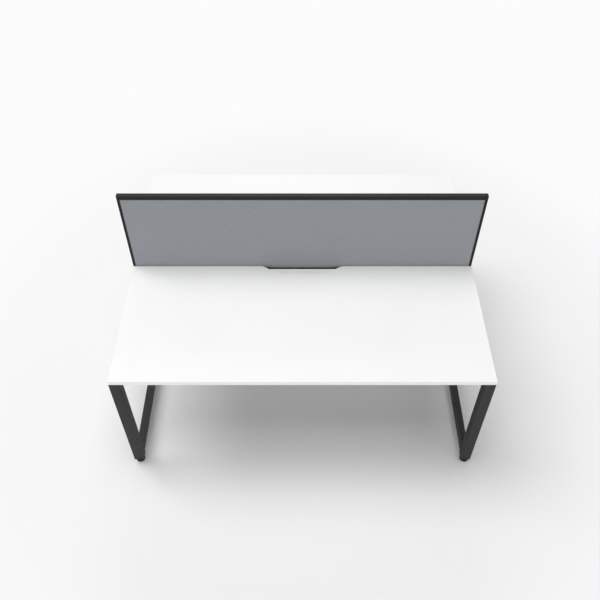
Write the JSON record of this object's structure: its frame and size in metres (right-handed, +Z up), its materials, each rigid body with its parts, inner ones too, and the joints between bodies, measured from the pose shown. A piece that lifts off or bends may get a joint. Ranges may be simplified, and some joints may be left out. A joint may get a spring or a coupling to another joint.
{
  "type": "two-person bench desk",
  "caption": "Back-to-back bench desk: white tops on black square-tube end frames, with a grey fabric screen in a slim black frame between the tops.",
  "frame": {"origin": "on the floor under the middle of the desk", "axes": "+X along the desk's length, +Y from the front user to the rear user, +Z up"},
  "size_m": [1.8, 1.52, 1.225],
  "materials": {
    "laminate": "white melamine-faced board, fine matt texture",
    "edging": "white plastic edge band, satin",
    "powder_coat": "black powder-coated steel, fine satin texture",
    "screen_frame": "black powder-coated aluminium section, satin",
    "fabric": "mid grey woven screen fabric",
    "core_board": "raw pinboard core, hidden",
    "plastic": "black moulded plastic, matt",
    "zinc": "zinc-plated steel"
  },
  "bodies": {
    "desk": {"front_worktop_board": "laminate", "front_worktop_edging": "edging", "rear_worktop_board": "laminate", "rear_worktop_edging": "edging", "left_front_post": "powder_coat", "left_rear_post": "powder_coat", "left_floor_rail": "powder_coat", "left_upper_rail": "powder_coat", "right_front_post": "powder_coat", "right_rear_post": "powder_coat", "right_floor_rail": "powder_coat", "right_upper_rail": "powder_coat", "front_outer_beam": "powder_coat", "front_outer_beam_left_bolt_a": "zinc", "front_outer_beam_left_bolt_b": "zinc", "front_outer_beam_right_bolt_a": "zinc", "front_outer_beam_right_bolt_b": "zinc", "front_inner_beam": "powder_coat", "front_inner_beam_left_bolt_a": "zinc", "front_inner_beam_left_bolt_b": "zinc", "front_inner_beam_right_bolt_a": "zinc", "front_inner_beam_right_bolt_b": "zinc", "rear_outer_beam": "powder_coat", "rear_outer_beam_left_bolt_a": "zinc", "rear_outer_beam_left_bolt_b": "zinc", "rear_outer_beam_right_bolt_a": "zinc", "rear_outer_beam_right_bolt_b": "zinc", "rear_inner_beam": "powder_coat", "rear_inner_beam_left_bolt_a": "zinc", "rear_inner_beam_left_bolt_b": "zinc", "rear_inner_beam_right_bolt_a": "zinc", "rear_inner_beam_right_bolt_b": "zinc", "left_front_post_plug": "plastic", "left_rear_post_plug": "plastic", "right_front_post_plug": "plastic", "right_rear_post_plug": "plastic", "screen_top_rail": "screen_frame", "screen_bottom_rail": "screen_frame", "screen_left_stile": "screen_frame", "screen_right_stile": "screen_frame", "screen_left_top_key": "zinc", "screen_left_bottom_key": "zinc", "screen_right_top_key": "zinc", "screen_right_bottom_key": "zinc", "screen_core_board": "core_board", "screen_front_fabric": "fabric", "screen_rear_fabric": "fabric", "left_screen_bracket": "powder_coat", "left_screen_bracket_bolt": "zinc", "right_screen_bracket": "powder_coat", "right_screen_bracket_bolt": "zinc"},
    "left_front_foot": {"left_front_foot_stud": "zinc", "left_front_foot_pad": "plastic"},
    "left_rear_foot": {"left_rear_foot_stud": "zinc", "left_rear_foot_pad": "plastic"},
    "right_front_foot": {"right_front_foot_stud": "zinc", "right_front_foot_pad": "plastic"},
    "right_rear_foot": {"right_rear_foot_stud": "zinc", "right_rear_foot_pad": "plastic"}
  },
  "joints": [
    {"name": "left_front_foot_screw", "type": "slide", "parent": "desk", "child": "left_front_foot", "axis": [0, 0, -1], "range_m": [0, 0.015]},
    {"name": "left_rear_foot_screw", "type": "slide", "parent": "desk", "child": "left_rear_foot", "axis": [0, 0, -1], "range_m": [0, 0.015]},
    {"name": "right_front_foot_screw", "type": "slide", "parent": "desk", "child": "right_front_foot", "axis": [0, 0, -1], "range_m": [0, 0.015]},
    {"name": "right_rear_foot_screw", "type": "slide", "parent": "desk", "child": "right_rear_foot", "axis": [0, 0, -1], "range_m": [0, 0.015]}
  ]
}
